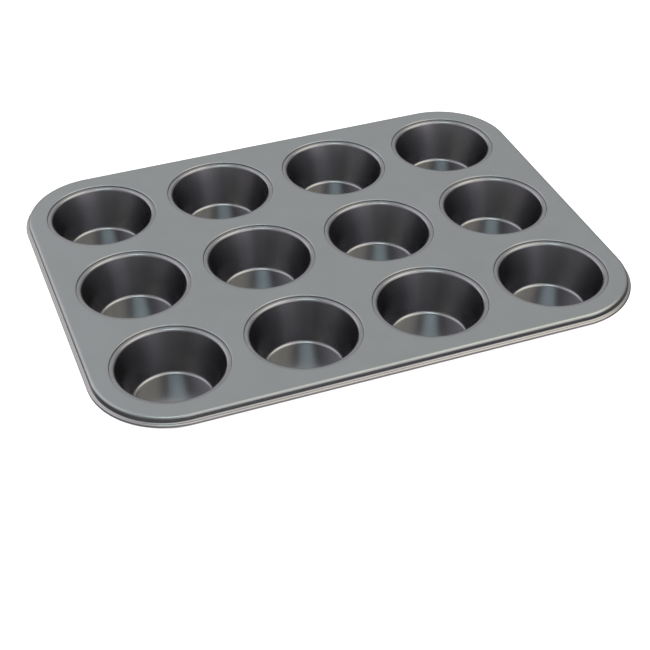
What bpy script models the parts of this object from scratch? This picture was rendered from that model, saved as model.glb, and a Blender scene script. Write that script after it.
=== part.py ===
"""A twelve-cup muffin tin: drawn steel cups seated in a pressed steel frame with a wired edge.

The origin is under the middle of the tin, on the plane that the cups stand on. +X runs along
the tin's length, +Y towards its back and +Z up. Sizes are in metres.
"""

from math import acos, atan, cos, pi, radians, sin, sqrt, tan

import bmesh
import bpy
from mathutils import Matrix, Vector

MM = 0.001

# The tin as a whole
CUP_COLUMNS = 4
CUP_ROWS = 3
TIN_HEIGHT = 29.6 * MM  # from the underside of the cups to the top of the plate
CLEARANCE = 0.3 * MM  # between pieces that touch on the real tin

# A cup, measured on its inside
CUP_SHEET = 0.5 * MM
MOUTH_RADIUS = 33.3 * MM  # where the wall's line meets the top of the flange
FLOOR_RADIUS = 25.5 * MM  # where the wall's line meets the floor
MOUTH_BEND = 2.2 * MM
FLOOR_BEND = 2.4 * MM
FLANGE_WIDTH = 2.5 * MM  # from the mouth to the flange's edge
FLANGE_DROP = 0.8 * MM  # from the top of the plate to the top of the flange

# The frame: a plate with a recessed seat for each cup
FRAME_SHEET = 0.5 * MM
WEB_LENGTHWISE = 11.5 * MM  # plate left between two seats of one row
WEB_CROSSWISE = 11.85 * MM  # plate left between two seats of one column
COLLAR_HEIGHT = 3.2 * MM  # lip turned down round each hole, against the cup's wall

# The frame's edge: a turned-down skirt, a neck, and a curl rolled inwards round a wire
EDGE_MARGIN = 12.45 * MM  # plate from the outer seats to the face of the skirt
CORNER_RADIUS = 48.0 * MM
EDGE_BEND = 2.0 * MM
WIRE_RADIUS = 0.5 * MM
WIRE_DEPTH = 5.45 * MM  # from the top of the plate to the middle of the wire
CURL_REACH = 2.15 * MM  # how far the curl stands out past the face of the skirt
NECK_RADIUS = 1.0 * MM
CURL_END = radians(-215)  # where the curl stops, turning inwards under the wire from +X
WIRE_BUTT = 1.0 * MM  # space left where the two ends of the wire meet

# Two holes pierced through the neck on the left-hand end
DRAIN_RADIUS = 0.7 * MM
DRAIN_SPACING = 50.0 * MM

# How finely round shapes are divided
CUP_STEPS = 24
CORNER_STEPS = 9
BEND_STEPS = 2
CURL_STEPS = 10
WIRE_RESOLUTION = 2
DRAIN_STEPS = 12
SHARP_ANGLE = radians(38)
MERGE_DISTANCE = 0.0001 * MM

FLOOR_TOP = CUP_SHEET
FLANGE_TOP = TIN_HEIGHT - FLANGE_DROP
WALL_TAPER = atan((MOUTH_RADIUS - FLOOR_RADIUS) / (FLANGE_TOP - FLOOR_TOP))
FLANGE_RADIUS = MOUTH_RADIUS + FLANGE_WIDTH
SEAT_RADIUS = FLANGE_RADIUS + CLEARANCE
CUP_STANDOFF = CUP_SHEET + CLEARANCE  # from a cup's inside to the frame that follows its outside
LAND_TOP = FLANGE_TOP - CUP_STANDOFF
PITCH_X = 2 * SEAT_RADIUS + WEB_LENGTHWISE
PITCH_Y = 2 * SEAT_RADIUS + WEB_CROSSWISE
HALF_LENGTH = (CUP_COLUMNS - 1) / 2 * PITCH_X + SEAT_RADIUS + EDGE_MARGIN  # to the skirt's face
HALF_WIDTH = (CUP_ROWS - 1) / 2 * PITCH_Y + SEAT_RADIUS + EDGE_MARGIN
CORNER_X = HALF_LENGTH - CORNER_RADIUS
CORNER_Y = HALF_WIDTH - CORNER_RADIUS
CURL_RADIUS = WIRE_RADIUS + CLEARANCE + FRAME_SHEET
WIRE_INSET = CURL_RADIUS - CURL_REACH  # from the skirt's face in to the wire's middle: outside it if negative
WIRE_HEIGHT = TIN_HEIGHT - WIRE_DEPTH


def cup_places():
    """The name and the centre of each cup, row by row from the back left."""
    for row in range(CUP_ROWS):
        for column in range(CUP_COLUMNS):
            x = (column - (CUP_COLUMNS - 1) / 2) * PITCH_X
            y = ((CUP_ROWS - 1) / 2 - row) * PITCH_Y
            yield f"cup_row{row + 1}_col{column + 1}", Vector((x, y))


def arc(centre, radius, start, end, steps):
    """Points on a circle from one angle to another, both ends among them."""
    angles = (start + (end - start) * step / steps for step in range(steps + 1))
    return [Vector((centre[0] + radius * cos(a), centre[1] + radius * sin(a))) for a in angles]


def fillet(before, corner, after, radius):
    """The arc that rounds one corner of a path."""
    into = (corner - before).normalized()
    out = (after - corner).normalized()
    turn = into.angle(out)
    side = 1 if into.cross(out) > 0 else -1
    start = corner - into * radius * tan(turn / 2)
    centre = start + Vector((-into.y, into.x)) * side * radius
    spoke = start - centre
    spokes = (Matrix.Rotation(side * turn * step / BEND_STEPS, 2) @ spoke for step in range(BEND_STEPS + 1))
    return [centre + each for each in spokes]


def wall_radius(height, standoff=0.0):
    """The radius of a cup's tapered wall at a height, or of a cone that stands off outside it."""
    return FLOOR_RADIUS + (height - FLOOR_TOP) * tan(WALL_TAPER) + standoff / cos(WALL_TAPER)


def cup_profile():
    """Radius and height along a cup's inside, from the flange's edge to the middle of the floor."""
    edge = Vector((FLANGE_RADIUS, FLANGE_TOP))
    mouth = Vector((MOUTH_RADIUS, FLANGE_TOP))
    foot = Vector((FLOOR_RADIUS, FLOOR_TOP))
    middle = Vector((0, FLOOR_TOP))
    return [edge, *fillet(edge, mouth, foot, MOUTH_BEND), *fillet(mouth, foot, middle, FLOOR_BEND), middle]


def seat_profile():
    """Radius and height down a seat, from the plate's hole to the end of the collar."""
    riser_foot = Vector((SEAT_RADIUS, LAND_TOP))
    lip = Vector((wall_radius(LAND_TOP, CUP_STANDOFF), LAND_TOP))
    collar_end = LAND_TOP - COLLAR_HEIGHT
    collar_foot = Vector((wall_radius(collar_end, CUP_STANDOFF), collar_end))
    return [riser_foot, *fillet(riser_foot, lip, collar_foot, MOUTH_BEND - CUP_STANDOFF), collar_foot]


def edge_profile():
    """Distance outside the skirt's face, and height, down the frame's edge to the end of the curl."""
    plate = Vector((-2 * EDGE_BEND, TIN_HEIGHT))
    brow = Vector((0, TIN_HEIGHT))
    rise = sqrt((NECK_RADIUS + CURL_RADIUS) ** 2 - (NECK_RADIUS + WIRE_INSET) ** 2)
    neck = Vector((NECK_RADIUS, WIRE_HEIGHT + rise))
    lean = acos((NECK_RADIUS + WIRE_INSET) / (NECK_RADIUS + CURL_RADIUS))
    return [
        *fillet(plate, brow, Vector((0, neck.y)), EDGE_BEND),
        *arc(neck, NECK_RADIUS, pi, pi + lean, BEND_STEPS),
        *arc((-WIRE_INSET, WIRE_HEIGHT), CURL_RADIUS, lean, CURL_END, CURL_STEPS)[1:],
    ]


def outline(outset):
    """The tin's rounded outline at a distance outside the skirt's face, anticlockwise."""
    points = []
    for quarter, (x, y) in enumerate(((1, 1), (-1, 1), (-1, -1), (1, -1))):
        start = quarter * pi / 2
        centre = (x * CORNER_X, y * CORNER_Y)
        points += arc(centre, CORNER_RADIUS + outset, start, start + pi / 2, CORNER_STEPS)
    return points


def finish(name, colour, roughness, metallic):
    """A plain metal finish."""
    material = bpy.data.materials.new(name)
    material.use_nodes = True
    shader = material.node_tree.nodes["Principled BSDF"]
    shader.inputs["Base Color"].default_value = (*colour, 1)
    shader.inputs["Roughness"].default_value = roughness
    shader.inputs["Metallic"].default_value = metallic
    return material


def place(name, data, collection, material=None):
    """A new object in a collection."""
    piece = bpy.data.objects.new(name, data)
    collection.objects.link(piece)
    if material:
        data.materials.clear()
        data.materials.append(material)
    return piece


def thicken(piece, thickness, offset):
    """Gives an open surface its sheet's thickness, on the side that the offset names."""
    wall = piece.modifiers.new("sheet", "SOLIDIFY")
    wall.thickness = thickness
    wall.offset = offset
    wall.use_even_offset = True


def solid_mesh(piece):
    """The mesh of a piece with its modifiers applied, shaded smooth. The piece itself is removed."""
    graph = bpy.context.evaluated_depsgraph_get()
    mesh = bpy.data.meshes.new_from_object(piece.evaluated_get(graph))
    bpy.data.objects.remove(piece)
    mesh.shade_smooth()
    mesh.set_sharp_from_angle(angle=SHARP_ANGLE)
    return mesh


def cup_mesh(collection):
    """One cup about the Z axis: its profile turned round, then thickened outwards."""
    mesh = bpy.data.meshes.new("cup_profile")
    points = [(point.x, 0, point.y) for point in cup_profile()]
    mesh.from_pydata(points, [(i, i + 1) for i in range(len(points) - 1)], [])
    piece = place("cup_profile", mesh, collection)
    turned = piece.modifiers.new("turn", "SCREW")
    turned.steps = turned.render_steps = CUP_STEPS
    turned.use_merge_vertices = True
    turned.merge_threshold = MERGE_DISTANCE
    thicken(piece, CUP_SHEET, 1)
    return solid_mesh(piece)


def make_cups(collection, material):
    """Twelve cups alike, each hanging by its flange in its own seat."""
    mesh = cup_mesh(collection)
    for name, centre in cup_places():
        cup = place(name, mesh, collection, material)
        cup.location = (*centre, 0)


def plate_mesh(collection):
    """The flat of the plate: its outline with a round hole for each seat."""
    curve = bpy.data.curves.new("plate_outline", "CURVE")
    curve.dimensions = "2D"
    curve.fill_mode = "BOTH"
    seats = [arc(centre, SEAT_RADIUS, 0, 2 * pi, CUP_STEPS)[:-1] for _, centre in cup_places()]
    for loop in [outline(-EDGE_BEND), *seats]:
        spline = curve.splines.new("POLY")
        spline.points.add(len(loop) - 1)
        spline.use_cyclic_u = True
        for point, spot in zip(spline.points, loop):
            point.co = (*spot, 0, 1)
    piece = place("plate_outline", curve, collection)
    piece.location.z = TIN_HEIGHT
    graph = bpy.context.evaluated_depsgraph_get()
    mesh = bpy.data.meshes.new_from_object(piece.evaluated_get(graph))
    mesh.transform(Matrix.Translation(piece.location))
    bpy.data.objects.remove(piece)
    return mesh


def extrude_rings(surface, edges, profile, spot_at):
    """Draws a boundary loop out along a profile, one ring of faces for each of its points."""
    for distance, height in profile:
        made = surface_extrusion(surface, edges)
        for vert in made[0]:
            spot = spot_at(vert.co.xy, distance)
            vert.co = (spot.x, spot.y, height)
        edges = made[1]


def surface_extrusion(surface, edges):
    """Extrudes boundary edges once. Returns the new vertices and the new boundary edges."""
    made = bmesh.ops.extrude_edge_only(surface, edges=edges)["geom"]
    verts = [each for each in made if isinstance(each, bmesh.types.BMVert)]
    rim = [each for each in made if isinstance(each, bmesh.types.BMEdge) and each.is_boundary]
    return verts, rim


def outset_spot(spot, distance):
    """The point at a distance outside the skirt's face, square to the tin's outline."""
    core = Vector((min(max(spot.x, -CORNER_X), CORNER_X), min(max(spot.y, -CORNER_Y), CORNER_Y)))
    return core + (spot - core).normalized() * (CORNER_RADIUS + distance)


def frame_surface(collection):
    """The upper side of the frame's sheet: plate, seats and edge, as one open surface."""
    mesh = plate_mesh(collection)
    surface = bmesh.new()
    surface.from_mesh(mesh)
    bmesh.ops.remove_doubles(surface, verts=surface.verts, dist=MERGE_DISTANCE)
    surface.faces.ensure_lookup_table()
    if surface.faces[0].normal.z < 0:
        bmesh.ops.reverse_faces(surface, faces=surface.faces)

    def edges_near(centre):
        reach = SEAT_RADIUS + WEB_LENGTHWISE / 4
        return [e for e in surface.edges if e.is_boundary and (e.verts[0].co.xy - centre).length < reach]

    rims = [(centre, edges_near(centre)) for _, centre in cup_places()]
    inner = {edge for _, edges in rims for edge in edges}
    outer = [edge for edge in surface.edges if edge.is_boundary and edge not in inner]
    for centre, edges in rims:
        def on_circle(spot, radius, centre=centre):
            return centre + (spot - centre).normalized() * radius

        extrude_rings(surface, edges, seat_profile(), on_circle)
    extrude_rings(surface, outer, edge_profile()[1:], outset_spot)
    surface.to_mesh(mesh)
    surface.free()
    return mesh


def drain_cutter(collection):
    """Two short rods that pierce the neck of the left-hand end."""
    cutter_mesh = bpy.data.meshes.new("drain_rods")
    rods = bmesh.new()
    neck_height = edge_profile()[BEND_STEPS + 1].y
    for side in (-1, 1):
        spot = Matrix.Translation((-HALF_LENGTH, side * DRAIN_SPACING / 2, neck_height))
        bmesh.ops.create_cone(
            rods,
            cap_ends=True,
            segments=DRAIN_STEPS,
            radius1=DRAIN_RADIUS,
            radius2=DRAIN_RADIUS,
            depth=2 * CURL_RADIUS,
            matrix=spot @ Matrix.Rotation(pi / 2, 4, "Y"),
        )
    rods.to_mesh(cutter_mesh)
    rods.free()
    cutter = place("drain_rods", cutter_mesh, collection)
    cutter.hide_render = True
    cutter.display_type = "WIRE"
    return cutter


def make_frame(collection, cutters, material):
    """The frame: one sheet, thickened downwards from its upper side, with two pierced holes."""
    piece = place("frame_surface", frame_surface(collection), collection)
    thicken(piece, FRAME_SHEET, -1)
    drains = piece.modifiers.new("drains", "BOOLEAN")
    drains.operation = "DIFFERENCE"
    drains.object = drain_cutter(cutters)
    place("frame", solid_mesh(piece), collection, material)


def make_rim_wire(collection, material):
    """The wire inside the curl, one loop whose two ends meet at the middle of the back."""
    loop = outline(-WIRE_INSET)
    back_left = CORNER_STEPS + 1
    loop = loop[back_left:] + loop[:back_left]
    ends = [Vector((side * WIRE_BUTT / 2, loop[0].y)) for side in (-1, 1)]
    points = [ends[0], *loop, ends[1]]
    curve = bpy.data.curves.new("rim_wire", "CURVE")
    curve.dimensions = "3D"
    curve.bevel_depth = WIRE_RADIUS
    curve.bevel_resolution = WIRE_RESOLUTION
    curve.use_fill_caps = True
    spline = curve.splines.new("POLY")
    spline.points.add(len(points) - 1)
    for point, spot in zip(spline.points, points):
        point.co = (*spot, WIRE_HEIGHT, 1)
    place("rim_wire", curve, collection, material)


def main():
    for old in list(bpy.data.objects):
        bpy.data.objects.remove(old)
    tin = bpy.data.collections.new("muffin_tin")
    cutters = bpy.data.collections.new("cutters")
    for collection in (tin, cutters):
        bpy.context.scene.collection.children.link(collection)
    cutters.hide_render = True
    plate_coating = finish("plate_coating", (0.2, 0.205, 0.21), 0.32, 1.0)
    cup_coating = finish("cup_coating", (0.17, 0.17, 0.175), 0.28, 1.0)
    bare_wire = finish("wire_steel", (0.45, 0.45, 0.45), 0.35, 1.0)
    make_frame(tin, cutters, plate_coating)
    make_rim_wire(tin, bare_wire)
    make_cups(tin, cup_coating)


main()
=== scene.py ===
"""The looks of a twelve-cup muffin tin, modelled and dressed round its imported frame.

The frame gives every place. This script makes the fine surfaces: the pressed steel sheet with its
recessed seats and wired edge, the drawn cups, the wire in the curl, and their non-stick finishes.
Lengths are in metres, +X runs along the tin, +Y towards its back and +Z up.
"""

import logging
from dataclasses import dataclass
from enum import Enum
from math import acos, atan, cos, pi, radians, sin, sqrt, tan
from typing import ClassVar

import bmesh
import bpy
from mathutils import Matrix, Vector


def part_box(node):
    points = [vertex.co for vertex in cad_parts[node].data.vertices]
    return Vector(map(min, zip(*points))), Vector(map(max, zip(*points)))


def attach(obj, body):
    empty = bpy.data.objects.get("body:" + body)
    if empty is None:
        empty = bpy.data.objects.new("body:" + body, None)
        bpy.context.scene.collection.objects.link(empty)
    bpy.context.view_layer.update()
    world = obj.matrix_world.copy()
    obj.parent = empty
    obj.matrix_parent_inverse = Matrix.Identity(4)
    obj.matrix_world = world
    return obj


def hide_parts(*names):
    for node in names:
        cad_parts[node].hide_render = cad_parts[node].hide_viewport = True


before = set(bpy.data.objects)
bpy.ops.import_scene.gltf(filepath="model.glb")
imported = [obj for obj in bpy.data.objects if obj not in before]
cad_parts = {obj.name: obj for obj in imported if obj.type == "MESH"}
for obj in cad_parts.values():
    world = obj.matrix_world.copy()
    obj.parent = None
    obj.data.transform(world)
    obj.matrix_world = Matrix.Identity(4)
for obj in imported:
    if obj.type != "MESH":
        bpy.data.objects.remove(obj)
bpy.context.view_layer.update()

log = logging.getLogger("muffin_tin")

MM = 0.001
BODY = "root"


class Slot(Enum):
    """The record's material slots."""

    PLATE = "plate_coating"
    CUP = "cup_coating"
    WIRE = "wire_steel"


# ---------------------------------------------------------------- profiles


def arc(centre: Vector, radius: float, start: float, end: float, steps: int) -> list[Vector]:
    """Divides an arc into points.

    Args:
        centre: The arc's centre, as (x, y).
        radius: The arc's radius.
        start: The angle of the first point, in radians.
        end: The angle of the last point.
        steps: How many stretches the arc is divided into.

    Returns:
        The points, both ends among them.
    """
    angles = [start + (end - start) * step / steps for step in range(steps + 1)]
    return [Vector((centre[0] + radius * cos(a), centre[1] + radius * sin(a))) for a in angles]


def rounded(path: list[tuple[Vector, float]], steps: int) -> list[Vector]:
    """Rounds the corners of a path.

    Args:
        path: Each corner with its bend radius. A radius of 0 leaves the corner as it is.
        steps: How many stretches each bend is divided into.

    Returns:
        The points of the rounded path.
    """
    points: list[Vector] = []
    for index, (corner, radius) in enumerate(path):
        if not radius:
            points.append(corner)
            continue
        into = (corner - path[index - 1][0]).normalized()
        out = (path[index + 1][0] - corner).normalized()
        turn = into.angle(out)
        side = 1 if into.cross(out) > 0 else -1
        start = corner - into * radius * tan(turn / 2)
        centre = start + Vector((-into.y, into.x)) * side * radius
        spoke = start - centre
        for step in range(steps + 1):
            points.append(centre + Matrix.Rotation(side * turn * step / steps, 2) @ spoke)
    return points


# ---------------------------------------------------------------- the bench


class Bench:
    """The modelling operators, with one piece on the bench at a time."""

    MERGE: ClassVar[float] = 0.001 * MM
    SLIVER: ClassVar[float] = 0.0001 * MM
    LEVEL: ClassVar[float] = 0.999  # a face is level when its normal is at least this upright
    RUB_ANGLE: ClassVar[float] = radians(60)  # edges sharper than this are rubbed round
    SMOOTH_ANGLE: ClassVar[float] = radians(35)  # edges sharper than this stay sharp in the shading

    @staticmethod
    def clear() -> None:
        """Puts down whatever is selected."""
        if bpy.context.object and bpy.context.object.mode != "OBJECT":
            bpy.ops.object.mode_set(mode="OBJECT")
        bpy.ops.object.select_all(action="DESELECT")

    @staticmethod
    def take(piece: bpy.types.Object) -> None:
        """Selects one piece alone and makes it active."""
        Bench.clear()
        piece.select_set(True)
        bpy.context.view_layer.objects.active = piece

    @staticmethod
    def edit(piece: bpy.types.Object, everything: bool = True) -> None:
        """Opens a piece in edit mode, with all of it selected or none."""
        Bench.take(piece)
        bpy.ops.object.mode_set(mode="EDIT")
        bpy.ops.mesh.select_mode(type="VERT")
        bpy.ops.mesh.select_all(action="SELECT" if everything else "DESELECT")

    @staticmethod
    def done() -> None:
        """Leaves edit mode."""
        bpy.ops.object.mode_set(mode="OBJECT")

    @staticmethod
    def chain(name: str, points: list[Vector]) -> bpy.types.Object:
        """Starts a piece as a chain of edges: one vertex, extruded from point to point.

        Args:
            name: The new piece's name.
            points: The points of the chain, in space.

        Returns:
            The piece, left in edit mode with the whole chain selected.
        """
        Bench.clear()
        bpy.ops.mesh.primitive_circle_add(vertices=3, radius=MM, location=(0, 0, 0))
        piece = bpy.context.object
        piece.name = piece.data.name = name
        Bench.edit(piece)
        bpy.ops.mesh.merge(type="CENTER")
        bpy.ops.transform.translate(value=points[0])
        for before, point in zip(points, points[1:]):
            bpy.ops.mesh.extrude_vertices_move(TRANSFORM_OT_translate={"value": point - before})
        bpy.ops.mesh.select_all(action="SELECT")
        return piece

    @staticmethod
    def spin(centre: Vector, angle: float, steps: int) -> None:
        """Turns what is selected about an upright axis, leaving a surface behind it."""
        bpy.ops.mesh.spin(
            steps=steps, dupli=False, angle=-angle, center=(centre.x, centre.y, 0), axis=(0, 0, 1)
        )

    @staticmethod
    def draw_out(run: Vector) -> None:
        """Extrudes what is selected along a straight run."""
        bpy.ops.mesh.extrude_region_move(TRANSFORM_OT_translate={"value": run})

    @staticmethod
    def close_seams() -> None:
        """Merges doubled vertices over the whole piece in edit mode."""
        bpy.ops.mesh.select_all(action="SELECT")
        bpy.ops.mesh.remove_doubles(threshold=Bench.MERGE)
        bpy.ops.mesh.dissolve_degenerate(threshold=Bench.SLIVER)
        bpy.ops.mesh.select_all(action="SELECT")
        bpy.ops.mesh.normals_make_consistent(inside=False)

    @staticmethod
    def face_up(piece: bpy.types.Object) -> None:
        """Turns a sheet over if its level faces look down on the whole.

        Args:
            piece: An open sheet, whose faces already agree with each other.
        """
        level = [face for face in piece.data.polygons if abs(face.normal.z) > Bench.LEVEL]
        if sum(face.normal.z * face.area for face in level) < 0:
            Bench.edit(piece)
            bpy.ops.mesh.flip_normals()
            Bench.done()

    @staticmethod
    def apply(piece: bpy.types.Object, kind: str, **settings: object) -> None:
        """Adds a modifier with its settings and applies it."""
        Bench.take(piece)
        modifier = piece.modifiers.new(kind.lower(), kind)
        for key, value in settings.items():
            setattr(modifier, key, value)
        bpy.ops.object.modifier_apply(modifier=modifier.name)

    @staticmethod
    def thicken(piece: bpy.types.Object, sheet: float) -> None:
        """Gives an open sheet its thickness, below and outside the face that was drawn."""
        Bench.apply(piece, "SOLIDIFY", thickness=sheet, offset=-1.0, use_even_offset=True)

    @staticmethod
    def rub(piece: bpy.types.Object, width: float, segments: int = 2) -> None:
        """Rounds a piece's sharp edges a little, as wear does."""
        Bench.apply(
            piece, "BEVEL", width=width, segments=segments, limit_method="ANGLE", angle_limit=Bench.RUB_ANGLE
        )

    @staticmethod
    def smooth(piece: bpy.types.Object) -> None:
        """Shades a piece smooth, apart from its sharp edges."""
        Bench.take(piece)
        bpy.ops.object.shade_smooth_by_angle(angle=Bench.SMOOTH_ANGLE)

    @staticmethod
    def copy(piece: bpy.types.Object, name: str, shift: Vector) -> bpy.types.Object:
        """Copies a piece with its own mesh, and sets the copy's place into that mesh.

        Args:
            piece: The piece to copy.
            name: The copy's name.
            shift: How far the copy lies from the piece.

        Returns:
            The copy.
        """
        Bench.take(piece)
        bpy.ops.object.duplicate(linked=False)
        twin = bpy.context.object
        twin.name = twin.data.name = name
        bpy.ops.transform.translate(value=shift)
        bpy.ops.object.transform_apply(location=True, rotation=True, scale=True)
        return twin

    @staticmethod
    def join(pieces: list[bpy.types.Object]) -> bpy.types.Object:
        """Joins pieces into the first of them."""
        Bench.take(pieces[0])
        for piece in pieces[1:]:
            piece.select_set(True)
        bpy.ops.object.join()
        return pieces[0]


# ---------------------------------------------------------------- the plan


@dataclass(frozen=True)
class Seat:
    """Where one cup hangs: its node, its number and its axis."""

    node: str
    number: int
    axis: Vector


@dataclass(frozen=True)
class Plan:
    """The tin's main places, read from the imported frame."""

    top: float
    skirt_x: float
    skirt_y: float
    flange_top: float
    flange_radius: float
    seats: tuple[Seat, ...]

    CURL_REACH: ClassVar[float] = 2.15 * MM
    CORNER_RADIUS: ClassVar[float] = 48.0 * MM
    CLEARANCE: ClassVar[float] = 0.3 * MM

    @classmethod
    def read(cls) -> "Plan":
        """Reads the plan from the frame's nodes."""
        _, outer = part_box("frame")
        seats = []
        for number, node in enumerate(sorted(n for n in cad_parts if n.startswith("cup_"))):
            low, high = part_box(node)
            seats.append(Seat(node, number, Vector(((low.x + high.x) / 2, (low.y + high.y) / 2))))
        return cls(
            top=outer.z,
            skirt_x=outer.x - cls.CURL_REACH,
            skirt_y=outer.y - cls.CURL_REACH,
            flange_top=high.z,
            flange_radius=(high.x - low.x) / 2,
            seats=tuple(seats),
        )

    @property
    def corner(self) -> Vector:
        """The centre of the rounded corner at +X and +Y."""
        return Vector((self.skirt_x - self.CORNER_RADIUS, self.skirt_y - self.CORNER_RADIUS))

    def outside(self, place: Vector) -> float:
        """How far a place lies outside the outline of the skirt, or inside it if negative."""
        over = Vector((max(abs(place.x) - self.corner.x, 0), max(abs(place.y) - self.corner.y, 0)))
        return over.length - self.CORNER_RADIUS

    def sweep(self, steps: int) -> None:
        """Carries what is selected once round the tin: a spin at each corner, a straight run between.

        Args:
            steps: How many stretches each corner is divided into.
        """
        x, y = self.corner
        runs = (
            ((x, y), (-2 * x, 0, 0)),
            ((-x, y), (0, -2 * y, 0)),
            ((-x, -y), (2 * x, 0, 0)),
            ((x, -y), (0, 2 * y, 0)),
        )
        for centre, run in runs:
            Bench.spin(Vector(centre), pi / 2, steps)
            Bench.draw_out(Vector(run))


# ---------------------------------------------------------------- pieces


@dataclass(frozen=True)
class Cup:
    """A drawn cup: flange, bend, tapered wall, foot bend and floor, in one thickness of sheet."""

    sheet: float = 0.5 * MM
    mouth_radius: float = 33.3 * MM
    floor_radius: float = 25.5 * MM
    mouth_bend: float = 2.2 * MM
    foot_bend: float = 2.4 * MM
    snug: float = 0.27 * MM
    rub: float = 0.12 * MM
    steps: int = 128
    bend_steps: int = 12

    def taper(self, plan: Plan) -> float:
        """The wall's lean from upright."""
        return atan((self.mouth_radius - self.floor_radius) / (plan.flange_top - self.sheet))

    def wall_radius(self, plan: Plan, height: float, standoff: float = 0.0) -> float:
        """The wall's inner radius at a height, or that of a cone standing off outside it.

        Args:
            plan: The tin's plan.
            height: The height above the ground.
            standoff: The distance outside the wall's inner face, square to it.

        Returns:
            The radius.
        """
        lean = self.taper(plan)
        return self.floor_radius + (height - self.sheet) * tan(lean) + standoff / cos(lean)

    def profile(self, plan: Plan) -> list[Vector]:
        """Radius and height along the cup's inside, from the flange's edge to the middle."""
        top = plan.flange_top
        corners = [
            (Vector((plan.flange_radius + self.snug, top)), 0),
            (Vector((self.mouth_radius, top)), self.mouth_bend),
            (Vector((self.floor_radius, self.sheet)), self.foot_bend),
            (Vector((self.floor_radius / 2, self.sheet)), 0),
            (Vector((0, self.sheet)), 0),
        ]
        return rounded(corners, self.bend_steps)

    def build(self, plan: Plan) -> list[bpy.types.Object]:
        """Models one cup and copies it to each seat.

        Args:
            plan: The tin's plan.

        Returns:
            The cups, in the order of the plan's seats.
        """
        first = plan.seats[0]
        points = [Vector((first.axis.x + p.x, first.axis.y, p.y)) for p in self.profile(plan)]
        model = Bench.chain("cup_fine_1", points)
        Bench.spin(first.axis, 2 * pi, self.steps)
        Bench.close_seams()
        Bench.done()
        Bench.face_up(model)
        Bench.thicken(model, self.sheet)
        Bench.rub(model, self.rub)
        Bench.smooth(model)
        cups = [model]
        for seat in plan.seats[1:]:
            shift = (seat.axis - first.axis).to_3d()
            cups.append(Bench.copy(model, f"cup_fine_{seat.number + 1}", shift))
        for seat, cup in zip(plan.seats, cups):
            self.mark_draw(plan, seat, cup)
        return cups

    def mark_draw(self, plan: Plan, seat: Seat, cup: bpy.types.Object) -> None:
        """Stores how far each vertex lies round and across the cup, for the streaks of the draw.

        Args:
            plan: The tin's plan.
            seat: The seat that the cup hangs in.
            cup: The cup.
        """
        marks = cup.data.attributes.new("draw_place", "FLOAT_VECTOR", "POINT")
        for vertex, mark in zip(cup.data.vertices, marks.data):
            spoke = vertex.co.xy - seat.axis
            reach = spoke / self.wall_radius(plan, vertex.co.z)
            mark.vector = (reach.x, reach.y, seat.number)


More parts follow.
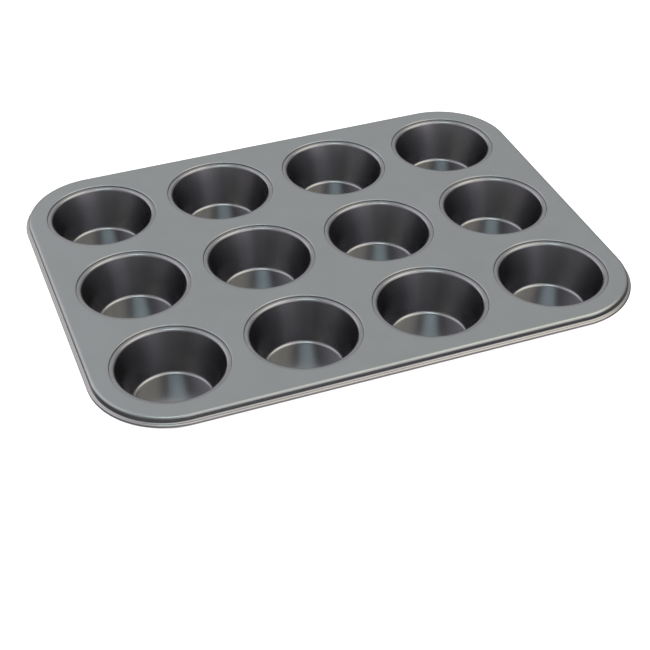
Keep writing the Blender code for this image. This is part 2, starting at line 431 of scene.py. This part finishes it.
@dataclass(frozen=True)
class Frame:
    """The pressed sheet: plate, seats, skirt, neck and the curl rolled round the wire."""

    sheet: float = 0.5 * MM
    seat_bend: float = 0.8 * MM
    land_bend: float = 0.3 * MM
    flat_border: float = 1.2 * MM
    collar_height: float = 3.2 * MM
    edge_bend: float = 2.0 * MM
    wire_radius: float = 0.5 * MM
    wire_depth: float = 5.45 * MM
    neck_radius: float = 1.0 * MM
    curl_end: float = radians(-215)
    drain_radius: float = 0.7 * MM
    drain_spacing: float = 50.0 * MM
    rub: float = 0.12 * MM
    seat_steps: int = 128
    corner_steps: int = 32
    bend_steps: int = 6
    curl_steps: int = 36

    @property
    def curl_radius(self) -> float:
        """The outer radius of the curl."""
        return self.wire_radius + Plan.CLEARANCE + self.sheet

    @property
    def wire_inset(self) -> float:
        """How far the wire's middle lies inside the face of the skirt."""
        return self.curl_radius - Plan.CURL_REACH

    def wire_height(self, plan: Plan) -> float:
        """The height of the wire's middle."""
        return plan.top - self.wire_depth

    def neck(self, plan: Plan) -> tuple[Vector, float]:
        """The centre of the neck's arc, outside the skirt, and the angle where it meets the curl."""
        span = self.neck_radius + self.curl_radius
        reach = self.neck_radius + self.wire_inset
        rise = sqrt(span**2 - reach**2)
        return Vector((self.neck_radius, self.wire_height(plan) + rise)), acos(reach / span)

    def edge_profile(self, plan: Plan) -> list[Vector]:
        """Distance outside the skirt, and height, from the plate down to the end of the curl."""
        neck, lean = self.neck(plan)
        brow = [
            (Vector((-self.edge_bend - self.flat_border, plan.top)), 0),
            (Vector((0, plan.top)), self.edge_bend),
            (neck - Vector((self.neck_radius, 0)), 0),
        ]
        curl_centre = Vector((-self.wire_inset, self.wire_height(plan)))
        return [
            *rounded(brow, self.bend_steps)[:-1],
            *arc(neck, self.neck_radius, pi, pi + lean, self.bend_steps),
            *arc(curl_centre, self.curl_radius, lean, self.curl_end, self.curl_steps)[1:],
        ]

    def seat_profile(self, plan: Plan, cup: Cup) -> list[Vector]:
        """Radius and height from the plate down into a seat, to the end of its collar."""
        standoff = cup.sheet + Plan.CLEARANCE
        land = plan.flange_top - standoff
        foot = land - self.collar_height
        radius = plan.flange_radius + Plan.CLEARANCE
        corners = [
            (Vector((radius + self.seat_bend + self.flat_border, plan.top)), 0),
            (Vector((radius, plan.top)), self.seat_bend),
            (Vector((radius, land)), self.land_bend),
            (Vector((cup.wall_radius(plan, land, standoff), land)), cup.mouth_bend - standoff),
            (Vector((cup.wall_radius(plan, foot, standoff), foot)), 0),
        ]
        return rounded(corners, self.bend_steps)

    def build(self, plan: Plan, cup: Cup) -> bpy.types.Object:
        """Models the frame.

        Args:
            plan: The tin's plan.
            cup: The cup that the seats are made for.

        Returns:
            The frame's sheet as one closed piece.
        """
        start = Vector((plan.corner.x + Plan.CORNER_RADIUS, plan.corner.y))
        edge = Bench.chain(
            "frame_fine", [Vector((start.x + p.x, start.y, p.y)) for p in self.edge_profile(plan)]
        )
        plan.sweep(self.corner_steps)
        Bench.close_seams()
        Bench.done()

        first = plan.seats[0].axis
        seat = Bench.chain(
            "seat_1", [Vector((first.x + p.x, first.y, p.y)) for p in self.seat_profile(plan, cup)]
        )
        Bench.spin(first, 2 * pi, self.seat_steps)
        Bench.close_seams()
        Bench.done()
        seats = [seat]
        for each in plan.seats[1:]:
            seats.append(Bench.copy(seat, f"seat_{each.number + 1}", (each.axis - first).to_3d()))
        piece = Bench.join([edge, *seats])
        self.fill_plate(plan, piece)
        Bench.thicken(piece, self.sheet)
        Bench.rub(piece, self.rub)
        self.pierce_drains(plan, piece)
        Bench.smooth(piece)
        # the bead gets a painted reflection in its colour, lighter and pinkish
        self.paint_bead_reflection(plan, piece)
        return piece

    def paint_bead_reflection(self, plan: Plan, piece: bpy.types.Object) -> None:
        """Stores where the sheet is rolled round the wire, the bead, whose colour carries a painted
        reflection: lighter and pinkish.

        Args:
            plan: The tin's plan.
            piece: The finished sheet.
        """
        neck, _ = self.neck(plan)
        bead_top = neck.y - self.neck_radius / 2
        marks = piece.data.attributes.new("bead_reflection_mark", "FLOAT", "POINT")
        for vertex, mark in zip(piece.data.vertices, marks.data):
            on_bead = vertex.co.z < bead_top and plan.outside(vertex.co) > self.wire_inset
            mark.value = 1.0 if on_bead else 0.0

    def fill_plate(self, plan: Plan, piece: bpy.types.Object) -> None:
        """Fills the plate between the edge's border and the borders of the seats."""
        Bench.edit(piece, everything=False)
        bpy.ops.mesh.select_mode(type="EDGE")
        sheet = bmesh.from_edit_mesh(piece.data)
        for border in sheet.edges:
            level = all(abs(vert.co.z - plan.top) < Bench.MERGE for vert in border.verts)
            border.select_set(border.is_boundary and level)
        bmesh.update_edit_mesh(piece.data)
        bpy.ops.mesh.fill(use_beauty=True)
        Bench.close_seams()
        Bench.done()
        Bench.face_up(piece)

    def pierce_drains(self, plan: Plan, piece: bpy.types.Object) -> None:
        """Pierces two small holes through the neck at the left-hand end."""
        neck, _ = self.neck(plan)
        for side in (-1, 1):
            Bench.clear()
            bpy.ops.mesh.primitive_cylinder_add(
                vertices=32,
                radius=self.drain_radius,
                depth=2 * self.curl_radius,
                location=(-plan.skirt_x, side * self.drain_spacing / 2, neck.y),
                rotation=(0, pi / 2, 0),
            )
            punch = bpy.context.object
            Bench.apply(piece, "BOOLEAN", operation="DIFFERENCE", object=punch)
            bpy.data.objects.remove(punch)


@dataclass(frozen=True)
class RimWire:
    """The wire in the curl, one loop with its two ends butted at the middle of the back."""

    butt: float = 1.0 * MM
    sides: int = 24
    corner_steps: int = 32
    rub: float = 0.15 * MM

    def build(self, plan: Plan, sheet: Frame) -> bpy.types.Object:
        """Models the wire.

        Args:
            plan: The tin's plan.
            sheet: The frame whose curl holds the wire.

        Returns:
            The wire as one closed piece.
        """
        x, y = plan.corner
        back = plan.skirt_y - sheet.wire_inset
        Bench.clear()
        bpy.ops.mesh.primitive_circle_add(
            vertices=self.sides,
            radius=sheet.wire_radius,
            fill_type="NGON",
            location=(-self.butt / 2, back, sheet.wire_height(plan)),
            rotation=(0, pi / 2, 0),
        )
        piece = bpy.context.object
        piece.name = piece.data.name = "rim_wire_fine"
        bpy.ops.object.transform_apply(location=True, rotation=True, scale=True)
        Bench.edit(piece)
        Bench.draw_out(Vector((-x + self.butt / 2, 0, 0)))
        runs = (
            ((-x, y), (0, -2 * y, 0)),
            ((-x, -y), (2 * x, 0, 0)),
            ((x, -y), (0, 2 * y, 0)),
            ((x, y), (-x + self.butt / 2, 0, 0)),
        )
        for centre, run in runs:
            Bench.spin(Vector(centre), pi / 2, self.corner_steps)
            Bench.draw_out(Vector(run))
        Bench.close_seams()
        Bench.done()
        Bench.rub(piece, self.rub, segments=3)
        Bench.smooth(piece)
        return piece


# ---------------------------------------------------------------- finishes


class Nodes:
    """Places and joins the nodes of one tree."""

    NOISE_LOW: ClassVar[float] = 0.3  # nearly all of a noise texture's values lie between these
    NOISE_HIGH: ClassVar[float] = 0.7

    def __init__(self, tree: bpy.types.NodeTree) -> None:
        """Takes the tree to work on."""
        self.tree = tree

    def add(self, kind: str, settings: dict | None = None, **inputs: object) -> bpy.types.Node:
        """Adds a node.

        Args:
            kind: The node's type, such as ShaderNodeMath.
            settings: Properties to set on the node.
            inputs: Values or sockets for its inputs. An underscore stands for a space, and a
                name such as at_1 stands for the input at that place.

        Returns:
            The node.
        """
        node = self.tree.nodes.new(kind)
        for key, value in (settings or {}).items():
            setattr(node, key, value)
        for key, value in inputs.items():
            by_place = key.startswith("at_")
            socket = node.inputs[int(key[3:]) if by_place else key.replace("_", " ")]
            if isinstance(value, bpy.types.NodeSocket):
                self.tree.links.new(value, socket)
            else:
                socket.default_value = value
        return node

    def math(self, operation: str, *values: object) -> bpy.types.NodeSocket:
        """Adds a Math node and gives its result."""
        places = {f"at_{index}": value for index, value in enumerate(values)}
        return self.add("ShaderNodeMath", {"operation": operation}, **places).outputs[0]

    def spread(
        self, value: object, low: float, high: float, to_low: float, to_high: float
    ) -> bpy.types.NodeSocket:
        """Maps a value from one range to another, with ends that don't overrun."""
        return self.add(
            "ShaderNodeMapRange",
            Value=value, From_Min=low, From_Max=high, To_Min=to_low, To_Max=to_high,
        ).outputs["Result"]

    def spread_noise(self, value: object, to_low: float, to_high: float) -> bpy.types.NodeSocket:
        """Maps a noise texture's values to a range."""
        return self.spread(value, self.NOISE_LOW, self.NOISE_HIGH, to_low, to_high)


def new_group(name: str, inputs: dict[str, float], outputs: tuple[str, ...]) -> bpy.types.NodeTree:
    """Starts a shader node group.

    Args:
        name: The group's name.
        inputs: Its number inputs with their defaults. It also gets a vector input named Place.
        outputs: Its number outputs.

    Returns:
        The group, with its input and output nodes in place.
    """
    group = bpy.data.node_groups.new(name, "ShaderNodeTree")
    group.interface.new_socket("Place", in_out="INPUT", socket_type="NodeSocketVector")
    for key, value in inputs.items():
        socket = group.interface.new_socket(key, in_out="INPUT", socket_type="NodeSocketFloat")
        socket.default_value = value
    for key in outputs:
        group.interface.new_socket(key, in_out="OUTPUT", socket_type="NodeSocketFloat")
    return group


def coating_grain() -> bpy.types.NodeTree:
    """The fine grain of a sprayed coating: a pebbled height and a cloudy tone. Sizes are in mm."""
    group = new_group("coating_grain", {"Pebble Size": 0.5, "Cloud Size": 25.0}, ("Height", "Cloud"))
    nodes = Nodes(group)
    given = nodes.add("NodeGroupInput").outputs
    pebble_scale = nodes.math("DIVIDE", 1 / MM, given["Pebble Size"])
    cloud_scale = nodes.math("DIVIDE", 1 / MM, given["Cloud Size"])
    pebbles = nodes.add(
        "ShaderNodeTexNoise", Vector=given["Place"], Scale=pebble_scale, Detail=3.0, Roughness=0.6
    )
    clouds = nodes.add(
        "ShaderNodeTexNoise", Vector=given["Place"], Scale=cloud_scale, Detail=4.0, Roughness=0.55
    )
    nodes.add("NodeGroupOutput", Height=pebbles.outputs[0], Cloud=clouds.outputs[0])
    return group


WALL_START = 0.93  # share of the wall's radius where the foot bend ends and the wall takes over
CUP_TO_CUP = 3.7  # how far apart two cups' streaks lie in the noise, so that no two look alike


def draw_streaks() -> bpy.types.NodeTree:
    """The soft upright streaks that drawing leaves round a cup's wall, and a mask of the wall."""
    group = new_group("draw_streaks", {"Count": 6.0}, ("Streak", "Wall"))
    nodes = Nodes(group)
    given = nodes.add("NodeGroupInput").outputs
    parts = nodes.add("ShaderNodeSeparateXYZ", Vector=given["Place"]).outputs
    flat = nodes.add("ShaderNodeCombineXYZ", X=parts[0], Y=parts[1]).outputs[0]
    reach = nodes.add("ShaderNodeVectorMath", {"operation": "LENGTH"}, at_0=flat).outputs["Value"]
    spoke = nodes.add("ShaderNodeVectorMath", {"operation": "NORMALIZE"}, at_0=flat).outputs[0]
    turn = nodes.add("ShaderNodeSeparateXYZ", Vector=spoke).outputs
    round_place = nodes.add(
        "ShaderNodeCombineXYZ", X=turn[0], Y=turn[1], Z=nodes.math("MULTIPLY", parts[2], CUP_TO_CUP)
    ).outputs[0]
    bands = nodes.add(
        "ShaderNodeTexNoise", Vector=round_place, Scale=given["Count"], Detail=3.0, Roughness=0.6
    )
    on_wall = nodes.spread(reach, WALL_START, 1.0, 0.0, 1.0)
    streak = nodes.math("MULTIPLY", nodes.spread_noise(bands.outputs[0], -1.0, 1.0), on_wall)
    nodes.add("NodeGroupOutput", Streak=streak, Wall=on_wall)
    return group


@dataclass(frozen=True)
class Coating:
    """A non-stick coating on steel: a dark, metallic film with a fine grain. It can carry a painted
    reflection on the bead, a lighter, pinkish colour.
    """

    slot: Slot
    colour: tuple[float, float, float]
    roughness: float
    metallic: float
    tone_spread: float
    roughness_spread: float
    pebble_size: float
    pebble_height: float
    # the bead's colour: a painted reflection, lighter and pinkish than the film
    bead_reflection_colour: tuple[float, float, float] | None = None
    streak: float = 0.0
    wall_roughness: float = 0.0

    def make(self, grain: bpy.types.NodeTree, streaks: bpy.types.NodeTree) -> bpy.types.Material:
        """Makes the material.

        Args:
            grain: The coating_grain group.
            streaks: The draw_streaks group.

        Returns:
            The material, named for its slot.
        """
        material = bpy.data.materials.new(f"{self.slot.value}_fine")
        material.use_nodes = True
        nodes = Nodes(material.node_tree)
        shader = material.node_tree.nodes["Principled BSDF"]
        place = nodes.add("ShaderNodeTexCoord").outputs["Object"]
        film = nodes.add("ShaderNodeGroup", {"node_tree": grain}, Place=place, Pebble_Size=self.pebble_size)
        cloud = film.outputs["Cloud"]
        tone = nodes.spread_noise(cloud, 1 - self.tone_spread, 1 + self.tone_spread)
        rough = nodes.spread_noise(
            cloud, self.roughness + self.roughness_spread, self.roughness - self.roughness_spread
        )
        if self.streak:
            draw = nodes.add("ShaderNodeAttribute", {"attribute_name": "draw_place"}).outputs["Vector"]
            marks = nodes.add("ShaderNodeGroup", {"node_tree": streaks}, Place=draw).outputs
            streak_tone = nodes.math("MULTIPLY_ADD", marks["Streak"], self.streak, 1.0)
            tone = nodes.math("MULTIPLY", tone, streak_tone)
            rough = nodes.math("MULTIPLY_ADD", marks["Wall"], self.wall_roughness, rough)
        film_and_reflection_colour: object = self.colour
        # On the bead the colour is mixed towards the bead's colour: a painted reflection, lighter and
        # pinkish.
        if self.bead_reflection_colour:
            bead = nodes.add("ShaderNodeAttribute", {"attribute_name": "bead_reflection_mark"}).outputs["Fac"]
            film_and_reflection_colour = nodes.add(
                "ShaderNodeMix", {"data_type": "VECTOR"}, at_0=bead, at_4=self.colour, at_5=self.bead_reflection_colour
            ).outputs[1]
        colour = nodes.add(
            "ShaderNodeVectorMath", {"operation": "SCALE"}, at_0=film_and_reflection_colour, Scale=tone
        ).outputs[0]
        bump = nodes.add(
            "ShaderNodeBump", Height=film.outputs["Height"], Distance=self.pebble_height, Strength=1.0
        ).outputs[0]
        tree = material.node_tree
        tree.links.new(colour, shader.inputs["Base Color"])
        tree.links.new(rough, shader.inputs["Roughness"])
        tree.links.new(bump, shader.inputs["Normal"])
        shader.inputs["Metallic"].default_value = self.metallic
        return material


@dataclass(frozen=True)
class DrawnWire:
    """Bare drawn steel wire, with brighter, duller and rougher patches."""

    slot: Slot = Slot.WIRE
    colour: tuple[float, float, float] = (0.42, 0.42, 0.41)
    dull_tone: float = 0.8
    bright_tone: float = 1.15
    roughness: float = 0.34
    roughness_spread: float = 0.15
    patch_size: float = 0.3

    def make(self, grain: bpy.types.NodeTree) -> bpy.types.Material:
        """Makes the material.

        Args:
            grain: The coating_grain group, used here for the wire's patches.

        Returns:
            The material, named for its slot.
        """
        material = bpy.data.materials.new(f"{self.slot.value}_fine")
        material.use_nodes = True
        nodes = Nodes(material.node_tree)
        shader = material.node_tree.nodes["Principled BSDF"]
        place = nodes.add("ShaderNodeTexCoord").outputs["Object"]
        patches = nodes.add(
            "ShaderNodeGroup", {"node_tree": grain}, Place=place, Pebble_Size=self.patch_size
        )
        tone = nodes.spread_noise(patches.outputs["Cloud"], self.dull_tone, self.bright_tone)
        colour = nodes.add(
            "ShaderNodeVectorMath", {"operation": "SCALE"}, at_0=self.colour, Scale=tone
        ).outputs[0]
        rough = nodes.spread_noise(
            patches.outputs["Height"], self.roughness, self.roughness + self.roughness_spread
        )
        material.node_tree.links.new(colour, shader.inputs["Base Color"])
        material.node_tree.links.new(rough, shader.inputs["Roughness"])
        shader.inputs["Metallic"].default_value = 1.0
        return material


# ---------------------------------------------------------------- studio


@dataclass(frozen=True)
class Glow:
    """One soft light in the surround: a bright round patch of the tent. Angles are in degrees."""

    azimuth: float
    elevation: float
    reach: float
    edge: float
    strength: float
    colour: tuple[float, float, float]

    @property
    def axis(self) -> Vector:
        """The direction of the patch's middle, seen from the tin."""
        turn, rise = radians(self.azimuth), radians(self.elevation)
        return Vector((cos(rise) * cos(turn), cos(rise) * sin(turn), sin(rise)))


@dataclass(frozen=True)
class Studio:
    """A pale floor, a tent that darkens towards the horizon with soft lights in it, and a camera.

    The camera stands in front of the tin and a little to its left, looking down. Its angles are in
    degrees. The tent's heights are the sines of angles above or below the horizon.
    """

    azimuth: float = -20.46
    elevation: float = 38.13
    roll: float = -0.41
    distance: float = 0.8835
    lens: float = 80.5
    aim_x: float = -27.8 * MM
    aim_y: float = -83.1 * MM
    floor_size: float = 6.0
    floor_tone: float = 0.3
    floor_roughness: float = 0.9
    floor_glow: float = 0.92
    tent: float = 0.92
    tent_height: float = 0.58
    below: float = 0.12
    below_height: float = -0.25
    underfoot: float = 1.5
    underfoot_start: float = -0.61
    underfoot_full: float = -0.7
    glows: tuple[Glow, ...] = (
        Glow(72, 40, 24, 12, 0.38, (0.95, 1.0, 1.03)),
        Glow(104, 34, 12, 8, 0.3, (0.96, 1.0, 1.03)),
        Glow(142, 46, 24, 12, 1.15, (0.97, 0.98, 1.08)),
        Glow(124, 6, 20, 8, 1.3, (1.0, 0.98, 0.94)),
        Glow(-120, 71, 10, 4, 5.2, (0.76, 1.0, 1.0)),
        Glow(-14, 58, 22, 7, 2.3, (1.0, 0.97, 0.74)),
        Glow(-62, 32, 30, 12, 1.2, (1.0, 0.93, 0.98)),
    )

    def set_camera(self, plan: Plan) -> None:
        """Makes the camera and points it at the plate, in front and to the left of its middle."""
        lens = bpy.data.cameras.new("camera")
        lens.lens = self.lens
        lens.clip_start = 0.05
        camera = bpy.data.objects.new("camera", lens)
        bpy.context.scene.collection.objects.link(camera)
        turn = (
            Matrix.Rotation(radians(self.azimuth), 4, "Z")
            @ Matrix.Rotation(radians(90 - self.elevation), 4, "X")
            @ Matrix.Rotation(radians(self.roll), 4, "Z")
        )
        aim = Matrix.Translation((self.aim_x, self.aim_y, plan.top))
        camera.matrix_world = aim @ turn @ Matrix.Translation((0, 0, self.distance))
        bpy.context.scene.camera = camera

    def lay_floor(self) -> None:
        """Lays the pale floor just under the cups. It glows a little, which keeps the shadow faint."""
        Bench.clear()
        bpy.ops.mesh.primitive_plane_add(size=self.floor_size, location=(0, 0, 0))
        ground = bpy.context.object
        ground.name = "floor"
        ground.visible_glossy = False
        paint = bpy.data.materials.new("floor_paint")
        paint.use_nodes = True
        shader = paint.node_tree.nodes["Principled BSDF"]
        shader.inputs["Base Color"].default_value = (self.floor_tone, self.floor_tone, self.floor_tone, 1)
        shader.inputs["Roughness"].default_value = self.floor_roughness
        shader.inputs["Specular IOR Level"].default_value = 0.0
        shader.inputs["Emission Color"].default_value = (1, 1, 1, 1)
        shader.inputs["Emission Strength"].default_value = self.floor_glow
        ground.data.materials.append(paint)

    def light(self) -> None:
        """Lights the tent. The camera itself sees it plain white."""
        world = bpy.data.worlds.new("tent")
        world.use_nodes = True
        nodes = Nodes(world.node_tree)
        background = world.node_tree.nodes["Background"]
        way = nodes.add("ShaderNodeTexCoord").outputs["Generated"]
        rise = nodes.add("ShaderNodeSeparateXYZ", Vector=way).outputs["Z"]
        above = nodes.spread(rise, self.below_height, self.tent_height, self.below, self.tent)
        under = nodes.spread(rise, self.underfoot_start, self.underfoot_full, 0.0, self.underfoot)
        level = nodes.math("ADD", above, under)
        light = nodes.add("ShaderNodeCombineXYZ", X=level, Y=level, Z=level).outputs[0]
        for glow in self.glows:
            near = nodes.add(
                "ShaderNodeVectorMath", {"operation": "DOT_PRODUCT"}, at_0=way, at_1=glow.axis
            ).outputs["Value"]
            patch = nodes.add(
                "ShaderNodeMapRange",
                {"interpolation_type": "SMOOTHSTEP"},
                Value=near,
                From_Min=cos(radians(glow.reach + glow.edge)),
                From_Max=cos(radians(glow.reach - glow.edge)),
                To_Max=glow.strength,
            ).outputs["Result"]
            tinted = nodes.add(
                "ShaderNodeVectorMath", {"operation": "SCALE"}, at_0=glow.colour, Scale=patch
            ).outputs[0]
            light = nodes.add(
                "ShaderNodeVectorMath", {"operation": "ADD"}, at_0=light, at_1=tinted
            ).outputs[0]
        seen = nodes.add("ShaderNodeLightPath").outputs["Is Camera Ray"]
        shown = nodes.add(
            "ShaderNodeMix", {"data_type": "VECTOR"}, at_0=seen, at_4=light, at_5=(1, 1, 1)
        ).outputs[1]
        world.node_tree.links.new(shown, background.inputs["Color"])
        bpy.context.scene.world = world

    def build(self, plan: Plan) -> None:
        """Sets up the whole studio."""
        self.lay_floor()
        self.light()
        self.set_camera(plan)
        bpy.context.scene.view_settings.view_transform = "Standard"


# ---------------------------------------------------------------- assembly


def dress(piece: bpy.types.Object, material: bpy.types.Material, node: str) -> None:
    """Gives a piece its material and puts it in the place of its CAD node.

    Args:
        piece: The finished piece.
        material: Its material.
        node: The CAD node that it stands for.
    """
    piece.data.materials.clear()
    piece.data.materials.append(material)
    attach(piece, BODY)
    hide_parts(node)
    log.info("%s stands for %s: %d faces", piece.name, node, len(piece.data.polygons))


def main() -> None:
    """Builds the tin and its studio."""
    logging.basicConfig(level=logging.INFO, format="%(name)s: %(message)s")
    plan = Plan.read()
    cup = Cup()
    sheet = Frame()
    grain, streaks = coating_grain(), draw_streaks()
    plate_coating = Coating(
        slot=Slot.PLATE, colour=(0.206, 0.212, 0.215), roughness=0.32, metallic=1.0,
        tone_spread=0.02, roughness_spread=0.03, pebble_size=1.6, pebble_height=0.002 * MM,
        # a painted reflection on the bead: lighter and pinkish
        bead_reflection_colour=(0.235, 0.225, 0.23),
    )
    cup_coating = Coating(
        slot=Slot.CUP, colour=(0.18, 0.178, 0.186), roughness=0.19, metallic=1.0,
        tone_spread=0.03, roughness_spread=0.02, pebble_size=1.8, pebble_height=0.001 * MM,
        streak=0.06, wall_roughness=0.06,
    )
    dress(sheet.build(plan, cup), plate_coating.make(grain, streaks), "frame")
    dress(RimWire().build(plan, sheet), DrawnWire().make(grain), "rim_wire")
    cup_material = cup_coating.make(grain, streaks)
    for seat, piece in zip(plan.seats, cup.build(plan)):
        dress(piece, cup_material, seat.node)
    Studio().build(plan)


if __name__ == "__main__":
    main()
